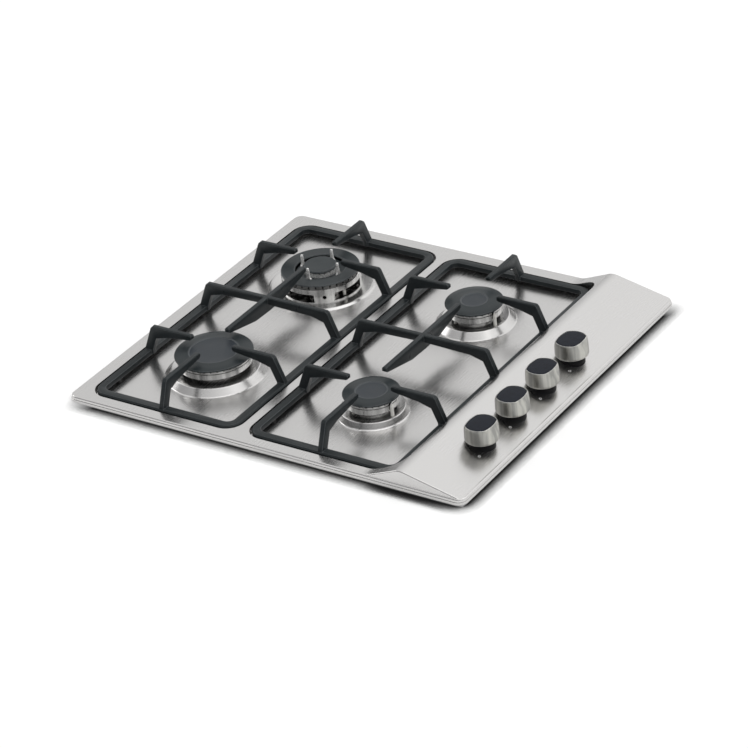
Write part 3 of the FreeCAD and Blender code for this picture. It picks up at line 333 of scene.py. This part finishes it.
def satinNickel():
    made, tree, link = finish("satinNickel", knobLook["nickel"], 1.0, 0.3)
    streaks = noise(tree, pattern(tree, (1600, 1600, 30)), 1.0, 3.0, 0.6)
    paintedReflectionBands = noise(tree, pattern(tree, (150, 150, 3)), 1.0, 2.0)
    lines = add(tree, streaks, paintedReflectionBands, 0.5)
    # the body's lighter and darker bands are painted reflections
    body = blendColour(tree, spread(tree, paintedReflectionBands, 0, 1, 0.38, 0.62),
                       knobLook["shade"], knobLook["nickel"])
    # painted highlight along the rims and edges
    link("Base Color", blendColour(tree, edgeHighlightMask(tree, 0.0012, 0.02, 0.2), body,
                                   (0.88, 0.87, 0.85)))
    link("Roughness", spread(tree, streaks, 0.30, 0.42))
    link("Normal", relief(tree, lines, 0.00003, 0.35))
    return made


def glossInlay():
    made, tree, link = finish("glossInlay", knobLook["inlay"], 0.0, 0.16,
                              {"Specular IOR Level": 0.10})
    haze = noise(tree, pattern(tree, (160, 160, 160)), 1.0, 5.0)
    link("Base Color", blendColour(tree, spread(tree, haze, 0, 1),
                                   knobLook["inlay"], (0.010, 0.013, 0.021)))
    link("Roughness", spread(tree, haze, 0.13, 0.22))
    link("Normal", relief(tree, haze, 0.00003, 0.15))
    return made


def printedMark(name, colour):
    made, tree, link = finish(name, colour, 0.0, 0.5)
    patchy = noise(tree, pattern(tree, (2200, 2200, 2200)), 1.0, 3.0)
    link("Base Color", blendColour(tree, patchy, tuple(c * 0.8 for c in colour), colour))
    link("Roughness", spread(tree, patchy, 0.42, 0.6))
    link("Normal", relief(tree, patchy, 0.00001, 0.3))
    return made


looks = {
    "steel": brushedSteel(),
    "seal": softRubber("foamSeal", (0.035, 0.035, 0.036), 0.8),
    "galvanised": sheetZinc("galvanisedSheet", (0.56, 0.575, 0.585), 130),
    "support_iron": supportEnamel("supportEnamel", supportLook["charcoal"]),
    "foot_rubber": softRubber("footRubber", (0.022, 0.022, 0.023), 0.7),
    "burner_alloy": castAlloy("burnerAlloy", (0.83, 0.83, 0.825), 0.12, 0.24),
    "cap_enamel": capEnamel("capEnamel", capLook["enamel"]),
    "brass": turnedBrass(),
    "ceramic": glazedCeramic(),
    "bright_metal": whiteMetal(),
    "pipe_alloy": castAlloy("drawnPipe", (0.68, 0.685, 0.69), 0.26, 0.4),
    "zinc_steel": sheetZinc("zincPlate", (0.63, 0.62, 0.59), 420),
    "moulding": mouldedPlastic("paleMoulding", (0.74, 0.73, 0.69), 0.45),
    "black_moulding": mouldedPlastic("blackMoulding", (0.005, 0.005, 0.006), 0.4, 0.12),
    "knob_metal": satinNickel(),
    "knob_inlay": glossInlay(),
}
for item in frame["record"]["subparts"]:
    nodes[item["node"]].material_slots[0].material = looks[item["material_slot"]]
# colours of the paler patches in the painted shade; the second is the wok base's
shadePatchTone, dull = (0.05, 0.048, 0.046), (0.42, 0.41, 0.40)
paintedShadeZones = {
    # node: the axis, the two radii between which shade is painted dark, the height under which
    # their outermost 3 mm stay bright, and the colour of the paler patches
    "front_left_cup": (leftX, frontY, 36.3, 80, 0, shadePatchTone),
    "front_right_cup": (rightX, frontY, 24.3, 80, 0, shadePatchTone),
    "rear_right_cup": (rightX, backY, 26.3, 80, 0, shadePatchTone),
    "front_left_crown": (leftX, frontY, 0, 47.15, worktop + 15, shadePatchTone),
    "front_right_crown": (rightX, frontY, 0, 32.85, worktop + 15, shadePatchTone),
    "rear_right_crown": (rightX, backY, 0, 34.65, worktop + 15, shadePatchTone),
    "wok_outer_crown": (leftX, backY, 0, 50.9, 0, shadePatchTone),
    "wok_base": (leftX, backY, 0, 51.2, 0, dull),
}
for name, values in paintedShadeZones.items():
    nodes[name].material_slots[0].material = paintedShadeAlloy(name + "Alloy", (0.82, 0.82, 0.81),
                                                        *values)
# the inner crown takes the paler white metal, not the alloy of the other crowns: painted light, so that its ports
# show bright
nodes["wok_inner_crown"].material_slots[0].material = looks["bright_metal"]
print("finishes given to", len(nodes), "nodes")


# helpers for shapes

def lathe(points, steps=128, closed=False):
    # points are (radius, height) in mm, turned round Z
    shape = bmesh.new()
    spots = [shape.verts.new((radius * mm, 0, high * mm)) for radius, high in points]
    pairs = list(zip(spots, spots[1:])) + ([(spots[-1], spots[0])] if closed else [])
    lines = [shape.edges.new(pair) for pair in pairs]
    bmesh.ops.spin(shape, geom=spots + lines, cent=(0, 0, 0), axis=(0, 0, 1),
                   angle=2 * math.pi, steps=steps, use_merge=True)
    return shape


def place(shape, x, y, z=0.0):
    bmesh.ops.translate(shape, verts=shape.verts, vec=(x * mm, y * mm, z * mm))
    return shape


def makePiece(name, shape, look, body, replaced=(), others=(), crease=32.0):
    bmesh.ops.remove_doubles(shape, verts=shape.verts, dist=2e-6)
    bmesh.ops.recalc_face_normals(shape, faces=shape.faces)
    mesh = bpy.data.meshes.new(name)
    shape.to_mesh(mesh)
    shape.free()
    mesh.materials.append(look)
    for other in others:
        mesh.materials.append(other)
    mesh.polygons.foreach_set("use_smooth", [True] * len(mesh.polygons))
    mesh.set_sharp_from_angle(angle=math.radians(crease))
    piece = bpy.data.objects.new(name, mesh)
    scene.collection.objects.link(piece)
    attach(piece, body)
    if replaced:
        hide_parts(*replaced)
    return piece


# burner caps

capShape = {
    "level": worktop + 27.2,
    "skirt": 8.3,  # from the cap's edge in to the skirt that drops into the crown
    # centre, radius, and radius of the sunken middle
    "front_left": (leftX, frontY, 50.5, 31.5),
    "front_right": (rightX, frontY, 36.2, 19.6),
    "rear_right": (rightX, backY, 38.0, 16.8),
}


def burnerCap(name):
    x, y, edge, step = capShape[name]
    guide = edge - capShape["skirt"]
    shape = lathe([
        (0, 1.4), (guide - 2, 1.4), (guide - 2, -3), (guide, -3), (guide, 0),
        (edge - 0.8, 0), (edge - 0.25, 0.2), (edge, 0.7), (edge - 0.02, 1.4),
        (edge - 0.3, 2.0), (edge - 1.0, 2.45), ((edge + step) / 2, 3.4), (step + 1.4, 4.1),
        (step + 0.8, 4.2), (step + 0.45, 4.1), (step - 0.35, 3.36), (step - 0.8, 3.28),
        (step * 0.5, 3.3), (0, 3.3)])
    # the sunken middle takes the second material, and the ring round it the third, a lighter painted highlight
    for face in shape.faces:
        radius = face.calc_center_median().xy.length / mm
        if face.calc_center_median().z > 2 * mm:
            face.material_index = 1 if radius < step - 0.6 else 2 if radius < step + 1.1 else 0
    makePiece(name + "Cap", place(shape, x, y, capShape["level"]), looks["cap_enamel"],
              name + "_cap", (name + "_cap",), (capMiddle, capRidgeHighlight))


capMiddle = capEnamel("capMiddle", capLook["middle"])
capRidgeHighlight = capEnamel("capRidgeHighlight", capLook["ridgeHighlight"])
for name in ("front_left", "front_right", "rear_right"):
    burnerCap(name)


# the wok burner's guard: a dark ring that carries four bright prongs

prongShape = {
    # mm; heights are above the lowest screw
    "ringIn": 22.2,
    "ringOut": 32.3,
    "ringFoot": 74.1,
    "ringTop": 77.0,
    "ease": 0.4,
    "circle": 28.0,
    "tip": 93.4,
    "foot": 4.5,
    "thick": 2.8,
}


def wokGuard():
    inside, outside, low, high, ease = (prongShape[key] for key in (
        "ringIn", "ringOut", "ringFoot", "ringTop", "ease"))
    shape = lathe([(inside, low), (outside, low), (outside, high - ease), (outside - ease, high),
                   (inside + ease, high), (inside, high - ease)], 96, closed=True)
    top = prongShape["tip"]
    foot = prongShape["foot"]
    outline = [(-foot, 76.4), (foot, 76.4), (foot - 0.2, 78.4), (2.9, 79.8), (2.2, 82.0),
               (1.8, 87.0), (1.35, top), (-1.35, top), (-1.8, 87.0), (-2.2, 82.0),
               (-2.9, 79.8), (0.2 - foot, 78.4)]
    for step in range(4):
        before = set(shape.verts)
        spots = [shape.verts.new((prongShape["circle"] * mm - prongShape["thick"] * mm / 2,
                                  across * mm, up * mm)) for across, up in outline]
        face = shape.faces.new(spots)
        grown = bmesh.ops.extrude_face_region(shape, geom=[face])
        moved = [v for v in grown["geom"] if isinstance(v, bmesh.types.BMVert)]
        bmesh.ops.translate(shape, verts=moved, vec=(prongShape["thick"] * mm, 0, 0))
        made = [v for v in shape.verts if v not in before]
        edges = [e for e in shape.edges if all(v in made for v in e.verts)]
        bmesh.ops.bevel(shape, geom=edges, offset=0.35 * mm, offset_type="OFFSET",
                        affect="EDGES", segments=2, profile=0.5, material=-1,
                        clamp_overlap=True)
        made = [v for v in shape.verts if v not in before]
        bmesh.ops.rotate(shape, verts=made, cent=(0, 0, 0),
                         matrix=Matrix.Rotation(math.pi / 2 * step, 3, "Z"))
        for face in shape.faces:
            if all(v in made for v in face.verts):
                face.material_index = 1
    makePiece("wokGuard", place(shape, leftX, backY), looks["cap_enamel"], "hob",
              ("wok_prongs",), (looks["bright_metal"],))


wokGuard()
print("burner caps and wok guard made")


# knobs: a turned nickel body with two curved flats, and a dark glossy inlay

knobShape = {
    # mm
    "x": 253.3,
    "firstY": -150.7,
    "pitch": 71.5,
    "bottom": worktop + 23.0,
    "high": 21.4,
    "widest": 21.4,
    "top": 20.6,
    "flat": 16.9,  # from the axis to the middle of a flat, at the top
    "flatBow": 45.0,  # radius of the flat's outward curve
    "neck": 8.6,  # nothing nearer the axis is shaved
    "lip": 2.1,  # depth of the rim round the inlay, which keeps its width
    "foot": 3.0,  # the flats run out at this height
    "fade": 1.4,  # and stand this much further out there
    "sweep": 1.15,  # how the flats curve on the way down
}


def shaveFlats(shape, reach, level=None):
    # brings everything beyond the two curved flats back to them
    high = knobShape["high"]
    for spot in shape.verts:
        across, along, up = (part / mm for part in spot.co)
        radius = math.hypot(across, along)
        if up < knobShape["foot"] or radius < knobShape["neck"]:
            continue
        drop = high - min(up if level is None else level, high)
        rise = min(1.0, drop / (high - knobShape["foot"]))
        room = knobShape["widest"] - knobShape["flat"]
        limit = knobShape["flat"] + room * rise ** knobShape["sweep"]
        limit -= max(0.0, reach - radius) if up > high - knobShape["lip"] else 0.0
        limit -= knobShape["flatBow"] - math.sqrt(knobShape["flatBow"] ** 2 - along ** 2)
        limit += knobShape["fade"] * rise
        if abs(across) > limit:
            spot.co.x = math.copysign(limit, across) * mm


def knobBody(number):
    y = knobShape["firstY"] + knobShape["pitch"] * (number - 1)
    high, widest, top = (knobShape[key] for key in ("high", "widest", "top"))
    profile = [(3.0, 4), (8, 4), (8, 10), (17, 10), (17, 0.3), (17.3, 0), (19.4, 0),
               (20.2, 0.25), (20.9, 0.9), (21.25, 1.8), (widest, 3.2)]
    profile += [(widest - 0.1 - 0.55 * (step / 10) ** 2, 3.2 + (high - 4.6) * step / 10)
                for step in range(1, 11)]
    profile += [(top - 0.05, high - 0.7), (top - 0.3, high - 0.2), (top - 0.6, high),
                (top - 0.9, high - 0.02), (top - 1.1, high - 0.3), (top - 1.15, high - 1.6),
                (0, high - 1.6)]
    shape = lathe(profile, 160)
    shaveFlats(shape, top)
    piece = place(shape, knobShape["x"], y, knobShape["bottom"])
    makePiece("knobBody%d" % number, piece, looks["knob_metal"], "knob_%d" % number,
              ("knob_%d" % number,), crease=24.0)

    edge = top - 1.2
    face = lathe([(0, high - 1.55), (edge, high - 1.55), (edge, high - 0.45),
                  (edge - 0.15, high - 0.12), (edge - 0.5, high - 0.0), (edge - 3, high + 0.05),
                  (edge - 9, high + 0.14), (edge - 14, high + 0.18), (0, high + 0.2)], 160)
    shaveFlats(face, top, high)
    makePiece("knobInlay%d" % number, place(face, knobShape["x"], y, knobShape["bottom"]),
              looks["knob_inlay"], "knob_%d" % number,
              ("knob_top_%d" % number,), crease=40.0)


for number in range(1, 5):
    knobBody(number)


# small printed rings beside the knobs that show where off is

markShape = {
    # mm; across and along are from the knob's axis
    "across": 9.5,
    "along": -23.5,
    "radius": 1.45,
    "line": 0.7,
    "slope": -0.2246,  # the panel's fall per mm to the right
    "level": worktop + 16.3,  # the panel's height at levelX
    "levelX": 249.0,
}


def panelMarks():
    marks = bmesh.new()
    inside = markShape["radius"] - markShape["line"] / 2
    outside = markShape["radius"] + markShape["line"] / 2
    for step in range(4):
        ring = lathe([(inside, -0.2), (outside, -0.2), (outside, 0.05), (inside, 0.05)], 24,
                     closed=True)
        spot = bmesh.ops.create_circle(ring, segments=24, cap_ends=True, radius=inside * mm)
        bmesh.ops.translate(ring, verts=spot["verts"], vec=(0, 0, 0.02 * mm))
        for face in spot["verts"][0].link_faces:
            face.material_index = 1
        bmesh.ops.rotate(ring, verts=ring.verts, cent=(0, 0, 0),
                         matrix=Matrix.Rotation(-math.atan(markShape["slope"]), 3, "Y"))
        x = knobShape["x"] + markShape["across"]
        y = knobShape["firstY"] + knobShape["pitch"] * step + markShape["along"]
        z = markShape["level"] + markShape["slope"] * (x - markShape["levelX"])
        place(ring, x, y, z)
        part = bpy.data.meshes.new("mark")
        ring.to_mesh(part)
        ring.free()
        marks.from_mesh(part)
        bpy.data.meshes.remove(part)
    makePiece("panelMarks", marks, printedMark("paleMark", (0.72, 0.72, 0.71)), "hob",
              others=(printedMark("darkMark", (0.05, 0.05, 0.055)),))


panelMarks()
print("knobs and panel marks made")


# pan supports: the CAD's own shape with its edges eased, as cast and enamelled iron has them

supportShape = {
    "ease": 0.6,  # width of the eased edges, mm
    "flat": 1.2,  # faces that turn less than this are joined, degrees
    "sharp": 24,  # edges that turn more than this are eased, degrees
}


def panSupport(side):
    name = "pan_support_" + side
    shape = bmesh.new()
    shape.from_mesh(nodes[name].data)
    bmesh.ops.remove_doubles(shape, verts=shape.verts, dist=2e-5)
    bmesh.ops.dissolve_limit(shape, angle_limit=math.radians(supportShape["flat"]),
                             verts=shape.verts, edges=shape.edges)
    least = math.radians(supportShape["sharp"])
    sharp = [edge for edge in shape.edges
             if len(edge.link_faces) == 2 and edge.calc_face_angle(0) > least]
    eased = bmesh.ops.bevel(shape, geom=sharp, offset=supportShape["ease"] * mm,
                            offset_type="OFFSET", affect="EDGES", segments=2, profile=0.5,
                            material=-1, clamp_overlap=True)
    # the eased edges take the second material, a paler painted highlight
    for face in eased["faces"]:
        face.material_index = 1
    makePiece(side + "Support", shape, looks["support_iron"], name, (name,),
              (edgeHighlightEnamel,))


edgeHighlightEnamel = supportEnamel("edgeHighlightEnamel", supportLook["eased"])
for side in ("left", "right"):
    panSupport(side)
print("pan supports eased")


# stage: a white worktop with its cut-out, soft studio light and the camera

stageShape = {
    # m
    "reach": 14.0,
    "cutWide": 0.560,
    "cutDeep": 0.490,
    "level": worktop * mm,
    "contact": 0.022,  # how far out the contact shadow starts
    "depth": 18.0,  # how fast it darkens towards the plate
    "rightSide": (0.284, 0.292),  # it fades in over these x along the right side,
    "rightEnd": (0.225, 0.262),  # and out over these y at the far end of that side
    "frontSide": (-0.262, -0.250),  # it fades out over these y behind the front side,
    "frontEnd": (-0.292, -0.250),  # and in over these x at the left end of that side
    "white": (0.97, 0.97, 0.97),
    "shadow": (0.01, 0.01, 0.01),
    "lift": 0.08,  # glow that keeps the worktop white for the camera
}


def worktopFloor():
    shape = bmesh.new()
    inner = bmesh.ops.create_circle(shape, segments=4, radius=math.sqrt(0.5))["verts"]
    outer = bmesh.ops.create_circle(shape, segments=4, radius=stageShape["reach"])["verts"]
    bmesh.ops.rotate(shape, verts=shape.verts, cent=(0, 0, 0),
                     matrix=Matrix.Rotation(math.pi / 4, 3, "Z"))
    bmesh.ops.scale(shape, verts=inner, vec=(stageShape["cutWide"], stageShape["cutDeep"], 1))
    bmesh.ops.bridge_loops(shape, edges=shape.edges)
    bmesh.ops.translate(shape, verts=shape.verts, vec=(0, 0, stageShape["level"]))
    bmesh.ops.recalc_face_normals(shape, faces=shape.faces)
    mesh = bpy.data.meshes.new("worktopFloor")
    shape.to_mesh(mesh)
    shape.free()
    floor = bpy.data.objects.new("worktopFloor", mesh)
    scene.collection.objects.link(floor)
    made, tree, link = finish("whiteFloor", stageShape["white"], 0.0, 0.85,
                              {"Specular IOR Level": 0.0})
    openness = addNode(tree, "ShaderNodeAmbientOcclusion",
                       {"Distance": stageShape["contact"]}, samples=16).outputs["AO"]
    deep = addNode(tree, "ShaderNodeMath", {0: openness, 1: stageShape["depth"]},
                   operation="POWER").outputs[0]
    # the far and left sides stay clear, as the light comes from there, and so do reflections
    spot = addNode(tree, "ShaderNodeSeparateXYZ", {0: pattern(tree, (1, 1, 1))}).outputs
    right = product(tree, spread(tree, spot["X"], 0, 1, *stageShape["rightSide"]),
                    spread(tree, spot["Y"], 1, 0, *stageShape["rightEnd"]))
    front = product(tree, spread(tree, spot["Y"], 1, 0, *stageShape["frontSide"]),
                    spread(tree, spot["X"], 0, 1, *stageShape["frontEnd"]))
    rays = addNode(tree, "ShaderNodeLightPath").outputs
    clear = addNode(tree, "ShaderNodeMath", {0: 1.0, 1: larger(tree, right, front)},
                    operation="SUBTRACT").outputs[0]
    deep = larger(tree, deep, larger(tree, clear, rays["Is Glossy Ray"]))
    link("Base Color", blendColour(tree, deep, stageShape["shadow"], stageShape["white"]))
    link("Emission Color", blendColour(tree, deep, (0, 0, 0), (1, 1, 1)))
    seen = add(tree, rays["Is Camera Ray"], add(tree, rays["Is Glossy Ray"],
               rays["Is Transmission Ray"], 1.0), 1.0)
    link("Emission Strength", spread(tree, seen, 0.0, stageShape["lift"], 0.0, 1.0))
    mesh.materials.append(made)


worktopFloor()

lampColour = (1.0, 0.995, 0.985)
lampTarget = Vector((0, 0, 0.06))
lightShape = {
    # name: place, size, watts
    "keyLeft": ((-2.7, -0.2, 1.5), (1.4, 1.2), 10.0),
    "overhead": ((0.7, 0.2, 2.6), (2.0, 2.0), 7.0),
}
for name, (spot, area, watts) in lightShape.items():
    lamp = bpy.data.lights.new(name, "AREA")
    lamp.shape = "RECTANGLE"
    lamp.size, lamp.size_y = area
    lamp.energy = watts
    lamp.color = lampColour
    holder = bpy.data.objects.new(name, lamp)
    holder.location = spot
    aim = lampTarget - Vector(spot)
    holder.rotation_euler = aim.to_track_quat("-Z", "Y").to_euler()
    scene.collection.objects.link(holder)

worldLook = {
    "bright": (1.16, 1.16, 1.155),  # high up behind the cooktop
    "dim": (0.22, 0.22, 0.225),  # low down behind the camera
    "towards": (0.35, 0.45, 0.82),  # direction in which it brightens
}
world = bpy.data.worlds.new("studioRoom")
world.use_nodes = True
scene.world = world
room = world.node_tree
facing = addNode(room, "ShaderNodeTexCoord").outputs["Generated"]
along = addNode(room, "ShaderNodeVectorMath", {0: facing, 1: worldLook["towards"]},
                operation="DOT_PRODUCT").outputs["Value"]
tone = blendColour(room, spread(room, along, 0, 1, -0.3, 0.9), worldLook["dim"],
                   worldLook["bright"])
room.links.new(tone, room.nodes["Background"].inputs["Color"])
room.nodes["Background"].inputs["Strength"].default_value = 1.0

cameraShape = {
    # solved together with the plate's corners; degrees, m, and mm for the lens
    "azimuth": 36.0274,
    "elevation": 30.5100,
    "roll": -6.1910,
    "distance": 4.08153,
    "across": -0.000291,
    "up": -0.028442,
    "lens": 155.39,
}


def aimCamera():
    azimuth, elevation, roll = (math.radians(cameraShape[key])
                                for key in ("azimuth", "elevation", "roll"))
    right = Vector((math.cos(azimuth), math.sin(azimuth), 0))
    back = Vector((math.sin(azimuth) * math.cos(elevation),
                   -math.cos(azimuth) * math.cos(elevation), math.sin(elevation)))
    up = back.cross(right)
    tiltedRight = right * math.cos(roll) + up * math.sin(roll)
    tiltedUp = up * math.cos(roll) - right * math.sin(roll)
    lens = bpy.data.cameras.new("photoCamera")
    lens.sensor_width = 36.0
    lens.lens = cameraShape["lens"]
    lens.clip_start = 0.1
    camera = bpy.data.objects.new("photoCamera", lens)
    turned = Matrix((tiltedRight, tiltedUp, back)).transposed().to_4x4()
    spot = (tiltedRight * cameraShape["across"] + tiltedUp * cameraShape["up"]
            + back * cameraShape["distance"] + Vector((0, 0, stageShape["level"])))
    camera.matrix_world = Matrix.Translation(spot) @ turned
    scene.collection.objects.link(camera)
    scene.camera = camera


aimCamera()
scene.view_settings.view_transform = "Standard"
print("stage, lights and camera set")
